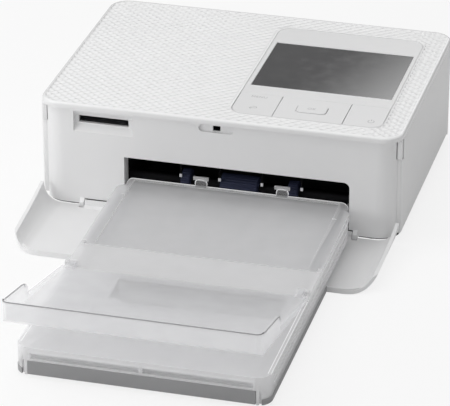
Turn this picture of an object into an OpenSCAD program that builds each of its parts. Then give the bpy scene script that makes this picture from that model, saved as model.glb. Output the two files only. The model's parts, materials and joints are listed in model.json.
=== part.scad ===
// Compact photo printer with an inserted paper cassette.
// Millimetres.  X to the right, Y to the back, Z up, table at Z = 0.
// The body's own centre lies at Y = oy; every module is written about that centre.

/* [Body] */
// Width over the side panels
body_w = 182.2; // [182.2:0.2:184]
// Thickness of the front wall
front_t = 2.2; // [1.8:0.1:2.2]
// Radius of the vertical corners of the top cover
corner_r = 10; // [8:0.5:12]
// Radius of the rolled rim of the top cover
rim_r = 1.5; // [1:0.1:1.9]
// Radius of a rubber foot
foot_r = 4.6; // [3:0.2:5]

/* [Cassette slot] */
// Left edge of the slot
slot_x0 = -47.5; // [-47.8:0.1:-47.5]
// Right edge of the slot
slot_x1 = 66; // [66:0.1:66.1]
// Top edge of the slot
slot_z = 30.8; // [30:0.2:31]

/* [Cassette] */
// Tilt of the raised outer lid in degrees
lid_tilt = 11.5; // [9:0.5:11.5]
// Height of the cassette rim above the table
rim_z = 15.2; // [14.6:0.1:15.2]
// Thickness of the cassette walls
wall = 1.9; // [1.6:0.1:2]

/* [Front cover] */
// Wall thickness of the front cover
cover_t = 1.7; // [1.4:0.1:1.7]
// Plan radius of the far corners of the front cover
cover_r = 16; // [12:1:17]

/* [Controls] */
// Gap around the keys
key_gap = 0.3; // [0.25:0.05:0.4]
// Width of the card slot
card_w = 25.4; // [24.8:0.1:25.4]

/* [Mechanism] */
// Radius of the feed roller's rubber
feed_r = 6; // [5.5:0.1:6]
// Radius of the platen's rubber
platen_r = 5; // [4.5:0.1:5]
// Gear module
gear_m = 1; // [1:1:1]

/* [Part] */
// Piece to show

/* [Hidden] */
$fn = 64;

oy = 88.75;
hw = body_w / 2;
hd = 66.5;
face_y = -64.5;
top_z = 57.6;
deck_z = 54.85;
core_w = 88.1;
front_w = 90.6;
side_z = 4.6;
core_r = 12;
cas_x0 = -49.2;
cas_x1 = 68;
cas_c = (cas_x0 + cas_x1) / 2;
cas_f = -231;
foot_y = -120.6;
cov_y = -65.45;
cov_z = 1.3;
feed_y = -55;
feed_z = 17.4;
plat_y = 12;
plat_z = 14.5;
spool_z = 34;
spool_ys = -8;
spool_yt = 32;
door_x = 89.3;
door_z = 6.6;
lug_ys = [-20, 48];
pan = [3.05, -55.4, 79, 51.8];
key_y = -31.4;
lid_y = -155;
lid_end = -245.2;
lid_z = 18.6;
flap_hy = -131;
flap_hz = 16.3;

white = [0.93, 0.93, 0.93];
frost = [0.82, 0.82, 0.84, 0.6];
dark = [0.06, 0.06, 0.07];
steel = [0.7, 0.71, 0.72];
navy = [0.12, 0.13, 0.2];

// ---- helpers ----
module bx(x0, y0, z0, x1, y1, z1)
    translate([x0, y0, z0]) cube([x1 - x0, y1 - y0, z1 - z0]);

module xrod(x0, x1, y, z, r)
    translate([x0, y, z]) rotate([0, 90, 0]) cylinder(h = x1 - x0, r = r);

module yrod(y0, y1, x, z, r)
    translate([x, y1, z]) rotate([90, 0, 0]) cylinder(h = y1 - y0, r = r);

module zrod(z0, z1, x, y, r)
    translate([x, y, z0]) cylinder(h = z1 - z0, r = r);

// extrude a (y, z) outline along X
module xprism(x0, x1)
    translate([x0, 0, 0]) rotate([90, 0, 90]) linear_extrude(x1 - x0) children();

// extrude an (x, z) outline along Y
module yprism(y0, y1)
    translate([0, y1, 0]) rotate([90, 0, 0]) linear_extrude(y1 - y0) children();

// extrude an (x, y) outline along Z
module zprism(z0, z1)
    translate([0, 0, z0]) linear_extrude(z1 - z0) children();

// rounded rectangle between two corners
module rr(x0, y0, x1, y1, r) {
    translate([x0 + r, y0]) square([x1 - x0 - 2 * r, y1 - y0]);
    translate([x0, y0 + r]) square([x1 - x0, y1 - y0 - 2 * r]);
    for (x = [x0 + r, x1 - r], y = [y0 + r, y1 - r])
        translate([x, y]) circle(r);
}

// plate with round vertical corners and a rolled upper edge
module rolled_plate(x0, y0, x1, y1, z0, z1, rc, re) {
    for (x = [x0 + rc, x1 - rc], y = [y0 + rc, y1 - rc])
        translate([x, y, z0]) rotate_extrude() {
            square([rc - re, z1 - z0]);
            square([rc, z1 - z0 - re]);
            intersection() {
                translate([rc - re, z1 - z0 - re]) circle(re);
                square([rc + re, z1 - z0 + re]);
            }
        }
    intersection() {
        union() {
            for (y = [y0 + re, y1 - re]) xrod(x0 + rc, x1 - rc, y, z1 - re, re);
            for (x = [x0 + re, x1 - re]) yrod(y0 + rc, y1 - rc, x, z1 - re, re);
        }
        bx(x0, y0, z1 - re - 0.5, x1, y1, z1);
    }
    bx(x0 + rc, y0, z0, x1 - rc, y1, z1 - re);
    bx(x0, y0 + rc, z0, x1, y1 - rc, z1 - re);
    bx(x0 + rc, y0 + re, z0, x1 - rc, y1 - re, z1);
    bx(x0 + re, y0 + rc, z0, x1 - re, y1 - rc, z1);
}

// front core in plan: a wall with rounded corners, open to the back
module core_plan(w, y_end)
    difference() {
        intersection() {
            rr(-w, face_y, w, 60, core_r);
            translate([-100, face_y - 1]) square([200, y_end - face_y + 1]);
        }
        rr(-w + front_t, face_y + front_t, w - front_t, 70, core_r - front_t);
    }

// spur gear outline with straight-flanked teeth
module gear2d(n, m) {
    circle(m * (n / 2 - 1.05));
    for (i = [0 : n - 1])
        rotate(i * 360 / n)
            polygon([[m * (n / 2 - 1.4), -0.72 * m], [m * n / 2, -0.64 * m],
                [m * (n / 2 + 0.75), -0.3 * m], [m * (n / 2 + 0.75), 0.3 * m],
                [m * n / 2, 0.64 * m], [m * (n / 2 - 1.4), 0.72 * m]]);
}

module xgear(x0, x1, y, z, n, m, phase, bore)
    translate([x0, y, z]) rotate([90, 0, 90]) linear_extrude(x1 - x0)
        difference() {
            rotate(phase) gear2d(n, m);
            circle(bore);
        }

// ---- printer body ----
module base_chassis()
    color(white) translate([0, oy, 0]) difference() {
        union() {
            zprism(2.2, 4) rr(-87, -61.2, 87, 64.1, 8);
            difference() {
                zprism(2.2, 2.75) rr(-89.6, -63.9, 89.6, -34, core_r - 1);
                for (s = [-1, 1]) bx(s * 69.35 - 1.5, -65, 2, s * 69.35 + 1.5, -62.4, 3);
            }
            difference() {
                zprism(4, 8) rr(-86.2, -47, 84.6, 64, 8);
                zprism(3.9, 8.1) rr(-84.6, -45.4, 83, 62.4, 6.4);
                bx(-60, -60, 3.9, 72, -40, 8.1);
            }
            for (x = [-80, 80], y = [-34, 57.5]) zrod(2.2, 8.6, x, y, 3.6);
            for (y = lug_ys) yprism(y - 1.2, y + 1.2) {
                translate([door_x, door_z]) circle(0.95);
                translate([83.4, door_z - 0.35]) square([door_x - 83.4, 1.3]);
            }
            bx(-77, -50.6, 4, -64, -42.6, 16.2);
            bx(-77, 17.6, 4, -64, 27.6, 12.6);
            zrod(4, 43, 78, 40, 1.2);
            zrod(4, 9, 78, 40, 2.6);
        }
        for (x = [-80, 80], y = [-34, 57.5]) {
            zrod(2, 3.8, x, y, 2.6);
            zrod(3.7, 9, x, y, 1.25);
        }
        for (y = lug_ys) yrod(y - 2, y + 2, door_x, door_z, 0.56);
        xrod(-80.1, -60, feed_y + 8.43, feed_z + 7.07, 9.05);
        xrod(-80.1, -60, plat_y + 10.65, plat_z + 7.46, 11.05);
        for (i = [0 : 11]) bx(-30 + i * 8, 22, 2, -27 + i * 8, 56, 4.2);
    }

module front_frame()
    color(white) translate([0, oy, 0]) difference() {
        union() {
            zprism(2.9, 44.3) core_plan(front_w, -59.6);
            zprism(44.3, 54.75) core_plan(front_w, -60.2);
            zprism(8.4, 54.75) core_plan(core_w, -48);
            bx(-75, face_y + 2, 41, -40.4, face_y + 4.6, 54.75);
            bx(slot_x0 - 1.7, face_y + 2, 8.4, slot_x1 + 1.7, face_y + 7, slot_z + 1.8);
            for (s = [-1, 1]) translate([s * 69.35, 0, 0]) xprism(-1.15, 1.15) {
                translate([cov_y, cov_z]) circle(1.05);
                polygon([[cov_y - 1.05, cov_z], [cov_y + 1.05, cov_z], [-62.4, 3.4],
                    [-62.4, 6], [face_y, 6], [cov_y - 1.05, 4.2]]);
            }
        }
        yprism(face_y - 1, face_y + 9) {
            translate([slot_x0, -1]) square([slot_x1 - slot_x0 - 3, slot_z + 1]);
            translate([slot_x0, -1]) square([slot_x1 - slot_x0, slot_z - 2]);
            translate([slot_x1 - 3, slot_z - 3]) circle(3);
        }
        bx(-68.1, face_y - 3, 0, 68.1, face_y + 4, 5.6);
        xprism(-73.2, -43)
            polygon([[face_y - 1, 41.8], [face_y, 42.1], [face_y + 3, 45.2],
                [face_y + 3, 49.8], [face_y, 53], [face_y - 1, 53.2]]);
        bx(-45.8 - card_w, face_y + 2.9, 45.9, -45.8, face_y + 5, 49.6);
        yprism(face_y - 1, face_y + 1.3) rr(-9.5, 49.6, 8, 53.4, 1.85);
        bx(-2.6, face_y, 50, 1.2, face_y + 4, 52.8);
        for (s = [-1, 1]) xrod(s * 69.35 - 2, s * 69.35 + 2, cov_y, cov_z, 0.56);
    }

module inner_frame()
    color(white) translate([0, oy, 0]) difference() {
        union() {
            bx(-88.2, -47.8, 4.4, -86.4, 56.3, 54.75);
            bx(86.4, -47.8, 8.4, 88.2, 56.3, 54.75);
            bx(-86.5, 54.5, 42, 86.5, 56.3, 54.75);
            bx(-86.4, 40, 36, -84.4, 54.6, 38);
            bx(84.4, 40, 48, 86.4, 54.6, 50);
        }
        bx(86, -28, 12, 89, 50, 50);
        for (y = [-14, 34]) bx(86, y - 2.4, 50.4, 89, y + 2.4, 53);
        bx(-89, -20.6, 10.9, -86, -10.4, 16.1);
        for (i = [0 : 9]) bx(-89, 14 + i * 3.6, 30, -86, 15.8 + i * 3.6, 46);
    }

// outer side panel for the right-hand side, its lower edge rounded
module side_shape()
    intersection() {
        union() {
            bx(88.4, -53.8, side_z, hw, 56.3, 54.7);
            bx(89.1, -58.4, side_z, hw, -53.7, 44.2);
            bx(89.1, -59.2, side_z, hw - 0.8, -58.3, 44.2);
            zrod(side_z, 44.2, hw - 0.8, -58.4, 0.8);
            bx(89.6, -57.2, 44.1, hw, -53.7, 54.7);
            zrod(44.1, 54.7, hw - 0.4, -57.2, 0.4);
        }
        yprism(-60, 60) rr(80, side_z, hw, 70, 1.5);
    }

module side_panel_left()
    color(white) translate([0, oy, 0]) difference() {
        mirror([1, 0, 0]) side_shape();
        bx(-hw - 1, -19.9, 11.6, -88, -11.1, 15.4);
    }

module cartridge_door()
    color(white) translate([0, oy, 0]) {
        difference() {
            side_shape();
            for (y = lug_ys) bx(88, y - 1.5, 2, 90.35, y + 1.5, 8.4);
            bx(87, -44, 10, 89.6, -32, 50);
            bx(87, -28, 10, 89.6, 48, 50);
        }
        for (y = lug_ys) yrod(y - 2.4, y + 2.4, door_x, door_z, 0.5);
        for (y = [-14, 34]) bx(86.9, y - 2, 51, 88.5, y + 2, 52.4);
    }

module rear_panel()
    color(white) translate([0, oy, 0]) difference() {
        zprism(side_z, 54.7) intersection() {
            difference() {
                rr(-hw, 20, hw, hd, corner_r);
                rr(-hw + 2.2, 10, hw - 2.2, hd - 2.2, corner_r - 2.2);
            }
            translate([-100, 56.5]) square([200, 20]);
        }
        bx(-46, 60, 17, 65, 70, 24);
        for (i = [0 : 13]) bx(-74 + i * 5, 60, 33, -71.6 + i * 5, 70, 47);
        yrod(60, 70, 76, 14, 5.15);
        yprism(60, 70) rr(-81.6, 11, -78.6, 18, 1.4);
    }

module top_cover()
    color(white) translate([0, oy, 0]) difference() {
        rolled_plate(-hw, -hd, hw, hd, deck_z, top_z, corner_r, rim_r);
        zprism(55.6, 60) rr(pan[0], pan[1], pan[2], pan[3], 7);
        zprism(50, 56) rr(pan[0] + 2, pan[1] + 2, pan[2] - 2, pan[3] - 2, 5);
        intersection() {
            zprism(50, 60) rr(pan[0], pan[1], pan[2], pan[3], 7);
            bx(0, -60, 50, 90, -30.8, 60);
        }
    }

// outline of the smooth panel, shrunk by g
module pan2d(g) rr(pan[0] + g, pan[1] + g, pan[2] - g, pan[3] - g, 7 - g);

module control_panel()
    color(white) translate([0, oy, 0]) difference() {
        zprism(55.65, 57.4) intersection() {
            pan2d(0.15);
            translate([0, key_y]) square([90, 90]);
        }
        bx(5.7, -21.6, 55, 76.9, 32.5, 58);
    }

module display_glass()
    color(dark) translate([0, oy, 0]) bx(5.8, -21.5, 56.1, 76.8, 32.4, 57.1);

module display_module()
    color(steel) translate([0, oy, 0]) {
        bx(6, -21.3, 51.6, 76.6, 32.2, 56);
        bx(20, 32.2, 52.4, 40, 40, 53);
    }

module key_board()
    color([0.1, 0.3, 0.2]) translate([0, oy, 0]) difference() {
        bx(6.4, -53, 50.8, 75.8, -25, 52);
        for (x = [9, 73], y = [-50.5, -27.5]) zrod(50, 53, x, y, 1.1);
    }

module key_switches()
    color(dark) translate([0, oy, 0])
        for (p = [[12, -37.5], [13.8, -49.2], [41.9, -42.8], [30, -42.8], [54, -42.8],
            [70, -37.5], [73, -48.8]]) {
            bx(p[0] - 1.8, p[1] - 1.8, 52, p[0] + 1.8, p[1] + 1.8, 53);
            zrod(53, 53.6, p[0], p[1], 0.9);
        }

// a key plate that bends about the seam at its back edge
module key_plate(x0, x1)
    zprism(55.65, 57.4) intersection() {
        pan2d(key_gap);
        translate([x0, -60]) square([x1 - x0, key_y - 0.12 + 60]);
    }

module plunger(x, y) zrod(54.6, 55.7, x, y, 1.2);

module menu_key()
    color(white) translate([0, oy, 0]) {
        key_plate(0, 24.7 - key_gap / 2);
        plunger(12, -37.5);
        plunger(13.8, -49.2);
    }

module nav_plate()
    color(white) translate([0, oy, 0]) {
        difference() {
            key_plate(24.7 + key_gap / 2, 59.45 - key_gap / 2);
            zprism(55, 58) rr(34.5 - 0.25, -47.35, 49.55, -38.25, 2.25);
        }
        plunger(30, -42.8);
        plunger(54, -42.8);
    }

module ok_button()
    color(white) translate([0, oy, 0]) {
        zprism(55, 57.75) rr(34.5, -47.1, 49.3, -38.5, 2);
        zrod(54.3, 55.1, 41.9, -42.8, 1.2);
    }

module power_key()
    color(white) translate([0, oy, 0]) {
        key_plate(59.45 + key_gap / 2, 90);
        plunger(70, -37.5);
        plunger(73, -48.8);
    }

module card_socket()
    color(steel) translate([0, oy, 0]) difference() {
        bx(-72.4, -59.8, 45.1, -44.6, -34, 50.6);
        bx(-45.8 - card_w, -60, 45.9, -45.8, -36, 49.6);
        for (i = [0 : 7]) bx(-69 + i * 3, -40, 50, -67.6 + i * 3, -37, 51);
    }

module catch_block()
    color(dark) translate([0, oy, 0]) difference() {
        bx(-7, face_y + 2.3, 48.8, 6, face_y + 7, 54.6);
        bx(-2.4, face_y + 2, 50.2, 1, face_y + 5, 52.6);
    }

module paper_tunnel()
    color(dark) translate([0, oy, 0]) difference() {
        union() {
            bx(-49.9, -57.3, 4.1, -47.7, -24, 33.2);
            bx(66.2, -57.3, 4.1, 68.4, -24, 33.2);
            bx(-49.9, -57.3, 31.8, 68.4, -24, 33.2);
            bx(-49.9, -25.6, 20.5, 68.4, -24, 33.2);
            bx(-49.9, -60.9, 4.1, 68.4, -24, 5.3);
        }
        xrod(-60, 80, feed_y, feed_z, 2.2);
    }

// ribs under the tunnel's roof that keep the sheet down
module tunnel_ribs()
    color(dark) translate([0, oy, 0])
        for (x = [-36, -27, 2, 16.8, 46, 55]) xprism(x - 0.7, x + 0.7)
            polygon([[-48, 31.8], [-46, 25.6], [-44.6, 25], [-26, 25], [-25.6, 31.8]]);

module guide_tips()
    color([0.8, 0.8, 0.8]) translate([0, oy, 0])
        for (x = [-19.7, 0, 21.4, 41.4]) {
            bx(x - 0.6, -60.9, 21.8, x + 0.6, -60, 23.6);
            bx(x - 0.35, -60.6, 23.5, x + 0.35, -60, slot_z);
        }

module mech_frame()
    color(steel) translate([0, oy, 0]) difference() {
        union() {
            bx(-53, -60, 4.1, -51.8, 50, 41);
            bx(70, -60, 4.1, 71.2, 50, 41);
            bx(-52, -37, 36, 70.2, -35.6, 41);
            bx(-52, 47.5, 26, 70.2, 48.7, 34);
            bx(-52, 40, 4.1, -44, 48, 5.3);
            bx(62, 40, 4.1, 70.2, 48, 5.3);
        }
        bx(69, -21, 21.5, 73, 45, 46);
        for (x = [-52.4, 70.6]) {
            xrod(x - 2, x + 2, feed_y, feed_z, 2.08);
            xrod(x - 2, x + 2, plat_y, plat_z, 2.58);
        }
        xrod(-54, -50, -10, 30, 8);
        xrod(-54, -50, 34, 30, 6);
        xrod(-54, -50, -34, 14, 4);
    }

module print_head()
    color(dark) translate([0, oy, 0]) {
        bx(-43, 6.5, 21, 61.5, 17.5, 24);
        bx(-43, 10.8, 20.35, 61.5, 13.2, 21.1);
    }

module heat_sink()
    color(steel) translate([0, oy, 0]) {
        bx(-42, 6.8, 24, 60.5, 17.2, 26);
        for (i = [0 : 20]) bx(-40 + i * 4.9, 6.8, 25.9, -38.6 + i * 4.9, 17.2, 43.5);
    }

module feed_motor()
    color(steel) translate([0, oy, 0]) difference() {
        union() {
            xrod(-80, -61, feed_y + 8.43, feed_z + 7.07, 9);
            xrod(-82, -79.9, feed_y + 8.43, feed_z + 7.07, 3);
        }
        xrod(-66.5, -60, feed_y + 8.43, feed_z + 7.07, 1.06);
    }

module platen_motor()
    color(steel) translate([0, oy, 0]) difference() {
        union() {
            xrod(-80, -61, plat_y + 10.65, plat_z + 7.46, 11);
            xrod(-82, -79.9, plat_y + 10.65, plat_z + 7.46, 3.5);
        }
        xrod(-66.5, -60, plat_y + 10.65, plat_z + 7.46, 1.06);
    }

module main_board()
    color([0.1, 0.3, 0.2]) translate([0, oy, 0]) difference() {
        bx(-84, -30, 9, -59.6, 12, 10.4);
        for (x = [-82, -61.6], y = [-28, 10]) zrod(8, 11, x, y, 1.1);
    }

module board_parts()
    color(dark) translate([0, oy, 0]) {
        bx(-78, -22, 10.4, -66, -10, 12);
        bx(-76, -4, 10.4, -70, 4, 11.6);
        bx(-64.6, -20, 10.4, -60.8, 2, 15);
        for (y = [6, 9.2]) zrod(10.4, 16, -78, y - 1.5, 1.5);
        bx(-83, -29, 10.4, -80, -24.5, 14);
    }

module dc_inlet()
    color(dark) translate([0, oy, 0]) {
        difference() {
            union() {
                bx(72, 50.6, 8.8, 82, 56, 19.2);
                yrod(55.9, 66.2, 76, 14, 5);
            }
            yrod(57, 67, 76, 14, 2.9);
        }
        yrod(56.9, 65.6, 76, 14, 0.9);
    }

module usb_port()
    color(steel) translate([0, oy, 0]) {
        difference() {
            yz_tube(-hw + 0.3, -83, -19.8, 11.7, -11.2, 15.3, 1.7);
            yz_tube(-hw - 1, -84, -19.4, 12.1, -11.6, 14.9, 1.3);
        }
        bx(-hw + 0.9, -17.8, 13.2, -83.9, -13.2, 13.8);
    }

module yz_tube(x0, x1, y0, z0, y1, z1, r) xprism(x0, x1) rr(y0, z0, y1, z1, r);

module rubber_feet()
    color(dark) translate([0, oy, 0])
        for (x = [-76, 76], y = [-55.4, 46]) zrod(0, 2.2, x, y, foot_r);

module base_screws()
    color(steel) translate([0, oy, 0])
        for (x = [-80, 80], y = [-34, 57.5]) difference() {
            union() {
                zrod(2.4, 3.8, x, y, 2.3);
                zrod(3.7, 8.2, x, y, 1.2);
            }
            bx(x - 1.6, y - 0.3, 2.3, x + 1.6, y + 0.3, 2.9);
            bx(x - 0.3, y - 1.6, 2.3, x + 0.3, y + 1.6, 2.9);
        }

// ---- ribbon cartridge and mechanism ----
module cartridge_shell()
    color([0.16, 0.16, 0.17]) translate([0, oy, 0]) difference() {
        union() {
            for (y = [spool_ys, spool_yt]) xrod(-44.2, 62.2, y, spool_z, 11);
            xprism(-46, -44) rr(-19, 23, 43, 45, 4);
            xprism(62, 66) rr(-19, 23, 43, 45, 4);
            xprism(65.9, 84) rr(-13, 27, 37, 42, 3);
        }
        for (y = [spool_ys, spool_yt]) {
            xrod(-44, 62, y, spool_z, 9.7);
            xrod(-45.2, 64.4, y, spool_z, 2.06);
        }
        bx(-44, -7, 21, 62, 0.5, 30);
        bx(-44, 23.5, 21, 62, 31, 30);
        xprism(68, 82) rr(-10.5, 29, 34.5, 43, 2);
        bx(68, -8, 30, 85, 32, 39);
    }

module ribbon_film()
    color([0.25, 0.1, 0.16]) translate([0, oy, 0]) xprism(-42, 60)
        polygon([[-6, 25.7], [6.2, 20.1], [17.8, 20.1], [30, 25.7], [30, 25.9],
            [17.75, 20.28], [6.25, 20.28], [-6, 25.9]]);

module spool(y) {
    xrod(-45, 64.2, y, spool_z, 2);
    xrod(-43.4, 61.4, y, spool_z, 4);
    for (x = [-43.4, 60.2]) xrod(x, x + 1.2, y, spool_z, 9.3);
    for (a = [0 : 60 : 300]) translate([61, y, spool_z]) rotate([a, 0, 0])
        bx(0, 4.6, -0.5, 0.8, 7.4, 0.5);
}

module supply_spool()
    color([0.25, 0.1, 0.16]) translate([0, oy, 0]) {
        spool(spool_ys);
        xrod(-42.2, 60.2, spool_ys, spool_z, 7.8);
    }

module takeup_spool()
    color([0.3, 0.28, 0.2]) translate([0, oy, 0]) {
        spool(spool_yt);
        xrod(-42.2, 60.2, spool_yt, spool_z, 5.6);
    }

module feed_shaft()
    color(steel) translate([0, oy, 0]) xrod(-59, 71, feed_y, feed_z, 2);

module feed_rubbers()
    color(navy) translate([0, oy, 0])
        for (r = [[-20, -15.4], [-0.1, 18.8], [33.8, 38.9]]) difference() {
            xrod(r[0], r[1], feed_y, feed_z, feed_r);
            xrod(r[0] - 1, r[1] + 1, feed_y, feed_z, 2);
        }

module feed_gear()
    color([0.85, 0.85, 0.8]) translate([0, oy, 0])
        xgear(-58.4, -54.4, feed_y, feed_z, 12, gear_m, 40, 2);

module feed_pinion()
    color([0.85, 0.85, 0.8]) translate([0, oy, 0]) {
        xgear(-58.4, -54.4, feed_y + 8.426, feed_z + 7.071, 10, gear_m, 220 + 18, 0.5);
        xrod(-66, -54.6, feed_y + 8.426, feed_z + 7.071, 1);
    }

module platen_shaft()
    color(steel) translate([0, oy, 0]) xrod(-59, 71, plat_y, plat_z, 2.5);

module platen_rubber()
    color(navy) translate([0, oy, 0]) difference() {
        xrod(-45, 64, plat_y, plat_z, platen_r);
        xrod(-46, 65, plat_y, plat_z, 2.5);
    }

module platen_gear()
    color([0.85, 0.85, 0.8]) translate([0, oy, 0])
        xgear(-58.4, -54.4, plat_y, plat_z, 16, gear_m, 35, 2.5);

module platen_pinion()
    color([0.85, 0.85, 0.8]) translate([0, oy, 0]) {
        xgear(-58.4, -54.4, plat_y + 10.649, plat_z + 7.456, 10, gear_m, 215 + 18, 0.5);
        xrod(-66, -54.6, plat_y + 10.649, plat_z + 7.456, 1);
    }

module eject_lever()
    color([0.75, 0.76, 0.78]) translate([0, oy, 0]) difference() {
        union() {
            bx(73.4, 37.8, 30, 81, 42.2, 36);
            bx(80.9, 43, 28, 85.6, 47.6, 38);
            bx(78, 41, 30, 82, 47.6, 36);
        }
        zrod(29, 37, 78, 40, 1.28);
    }

// ---- front cover ----
// across the cover: a flat floor that turns up into the two side walls
module cover_arc(g) rr(-90.9 + g, 0.25 + g, 90.9 - g, 60 - g, 11 - g);

module front_cover()
    color(white) translate([0, oy, 0]) difference() {
        union() {
            intersection() {
                difference() {
                    yprism(-119.2, -64.7) cover_arc(0);
                    yprism(-130, -60) cover_arc(cover_t);
                }
                zprism(-1, 30) rr(-90.9, -119.2, 90.9, -20, cover_r);
                xprism(-100, 100) polygon([[-64.7, -1], [-64.7, 12.6], [-76, 10.4],
                    [-90, 8.7], [-112, 7.1], [-120, 6.4], [-120, -1]]);
            }
            intersection() {
                difference() {
                    zprism(0.25, 3) rr(-89, -119.2, 89, -20, cover_r - 1);
                    zprism(0.2, 3.1) rr(-87.6, -117.8, 87.6, -10, cover_r - 2.4);
                }
                yprism(-119.2, -64.7) cover_arc(0);
            }
            xprism(-67.9, 67.9) polygon([[-68.5, 1.5], [-68.5, 1.9], [-66.5, 2.9],
                [-65.8, 5.3], [-65, 5.3], [-64.75, 1.5]]);
            bx(-1, -117.9, 1.5, 1.7, -116.6, 3.2);
        }
        for (s = [-1, 1]) {
            bx(s * 69.35 - 1.35, -67.4, -1, s * 69.35 + 1.35, -60, 14);
            xrod(s * 69.35 - 3.4, s * 69.35 + 3.4, cov_y, cov_z, 0.5);
        }
    }

module cover_pins()
    color(steel) translate([0, oy, 0])
        for (s = [-1, 1]) xrod(s * 69.35 - 3.2, s * 69.35 + 3.2, cov_y, cov_z, 0.5);

// ---- paper cassette ----
module cas_wide(z0, z1, g, y1)
    zprism(z0, z1) rr(cas_x0 + g, cas_f + g, cas_x1 - g, y1 - g, 6.5 - g);

// edge band round the foot, broken at the strip
module skirt_ring()
    difference() {
        intersection() {
            difference() {
                cas_wide(1.2, 4.1, -0.35, -69.5);
                cas_wide(1.1, 4.2, 1, -69.5);
            }
            bx(-60, -240, 1.3, 80, foot_y, 6);
        }
        bx(cas_x0 + 3.4, cas_f - 2, 0, cas_x1 - 3.4, cas_f + 4, 6);
    }

module cassette_body()
    difference() {
        union() {
            cas_wide(5.2, rim_z, 0, -69.5);
            intersection() {
                cas_wide(1.3, 5.3, 0, -69.5);
                bx(-60, -240, 0, 80, foot_y, 6);
            }
            bx(cas_x0, -158, rim_z - 0.1, cas_x1, -132.3, 17.2);
            bx(-47, -80, 5.8, 65.5, -46, 15);
            for (m = [0, 1]) translate([m * 2 * cas_c, 0, 0]) mirror([m, 0, 0]) {
                bx(cas_x0, -132.4, rim_z - 0.1, cas_x0 + 1.8, -129.4, 17.4);
                xprism(cas_x0, cas_x0 + 1.7) {
                    translate([lid_y, lid_z]) circle(1.3);
                    translate([lid_y - 1.3, 17]) square([2.6, 1.6]);
                }
                for (z = [8.4, 11.6]) bx(cas_x0 - 0.4, -222, z, cas_x0 + 0.1, -80, z + 0.8);
            }
        }
        // paper space, front pocket and neck
        zprism(7, rim_z - 1.8)
            rr(cas_x0 + wall, cas_f + 3.6, cas_x1 - wall, -71.4, 4);
        bx(cas_x0 + wall, -131.9, 12, cas_x1 - wall, -76, 19);
        zprism(12, 19) rr(cas_x0 + wall, -131.9, cas_x1 - wall, -71.4, 4);
        bx(-44.8, -80, 7.4, 63.3, -48, 19);
        bx(-44.8, -49, 9.6, 63.3, -45, 19);
        bx(-60, -70, 15.05, 80, -40, 19);
        bx(-22, -177, 10, 57.4, -158.6, 18);
        // underside of the front foot
        bx(-44, -226, 0, 63, foot_y - 3, 5.2);
        skirt_ring();
        // recesses in the front face
        bx(-43.4, cas_f - 1, 1, 62.2, cas_f + 1.7, 8.6);
        bx(-42, cas_f - 1, 9.6, 8.7, cas_f + 2.2, 12.4);
        bx(10.1, cas_f - 1, 9.6, 61, cas_f + 2.2, 12.4);
        for (m = [0, 1]) translate([m * 2 * cas_c, 0, 0]) mirror([m, 0, 0]) {
            xrod(cas_x0 - 1, -40, lid_y, lid_z, 0.76);
            xrod(cas_x0 - 1, -45, flap_hy, flap_hz, 0.76);
            bx(cas_x0 + 3.4, cas_f - 1, 0, cas_x0 + 4.6, cas_f + 1.7, 8.6);
        }
    }

// ribs that carry the sheets, and the cradles of the lift plate's bar
module cassette_ribs() {
    for (x = [-34, -12, 9.4, 31, 53]) bx(x - 0.6, -226.5, 6.9, x + 0.6, -131, 9.9);
    difference() {
        for (x = [-38, 9.4, 56.8]) bx(x - 1, -128.7, 6.9, x + 1, -125.3, 8.6);
        xrod(-60, 80, -127, 8.9, 0.96);
    }
}

module cassette_base()
    color(frost) translate([0, oy, 0]) {
        cassette_body();
        cassette_ribs();
    }

module cassette_strip()
    color([0.5, 0.5, 0.5]) translate([0, oy, 0]) {
        difference() {
            bx(-43.2, cas_f - 0.1, 1.6, 62, cas_f + 1.6, 8.5);
            bx(-40, cas_f + 0.9, 3, 59, cas_f + 2, 7);
        }
        skirt_ring();
    }

module inner_lid()
    color(frost) translate([0, oy, 0]) {
        difference() {
            union() {
                intersection() {
                    zprism(15.3, 21) rr(cas_x0, -136, cas_x1, -70, 4);
                    xprism(-60, 80) polygon([[-131.9, 15.45], [-131.9, 17.3],
                        [-62.3, 18.95], [-62.3, 15.45]]);
                }
                intersection() {
                    yprism(-80, -62.3) rr(-46.7, 12, 65.2, 18.9, 3.4);
                    bx(-60, -90, 15.45, 80, -60, 20);
                }
            }
            xprism(-42.5, 61.3) polygon([[-130, 16.7], [-63.6, 18.2], [-63.6, 25], [-130, 25]]);
            xprism(-44.6, 63.4) polygon([[-130, 15], [-64, 15], [-64, 17.1], [-130, 15.8]]);
            for (m = [0, 1]) translate([m * 2 * cas_c, 0, 0]) mirror([m, 0, 0]) {
                bx(-60, -133, 15, cas_x0 + 2, -128.9, 19);
                bx(cas_x0 + 1.7, -118, 15, cas_x0 + 3, -74, 17);
            }
        }
        for (m = [0, 1]) translate([m * 2 * cas_c, 0, 0]) mirror([m, 0, 0]) {
            xrod(cas_x0 + 0.2, -44, flap_hy, flap_hz, 0.7);
        }
        for (x = [-8.8, 32.2]) {
            yprism(-63.6, -62.4) rr(x - 3, 16.9, x + 3, 22.9, 2.6);
            bx(x - 3.8, -63.4, 22.3, x + 3.8, -62.1, 23.9);
        }
    }

// floor height of the raised lid's underside
function lid_f(y) = 16.2 + (-155 - y) * tan(lid_tilt);

module lid_side(g)
    polygon([[-158.6, lid_f(-158.6) + g], [-158.6, lid_f(-158.6) + 2],
        [-211.5, lid_f(-211.5) + 3.9], [-211.5, lid_f(-211.5) + 2],
        [-212.1, lid_f(-212.1) + 2], [-212.1, 35.2], [-213.2, 37.3], [-216.7, 38.6],
        [lid_end, 45], [lid_end, lid_f(lid_end) + g + 2], [lid_end + 0.6, lid_f(lid_end) + g + 0.7],
        [lid_end + 1.9, lid_f(lid_end + 1.9) + g]]);

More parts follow.
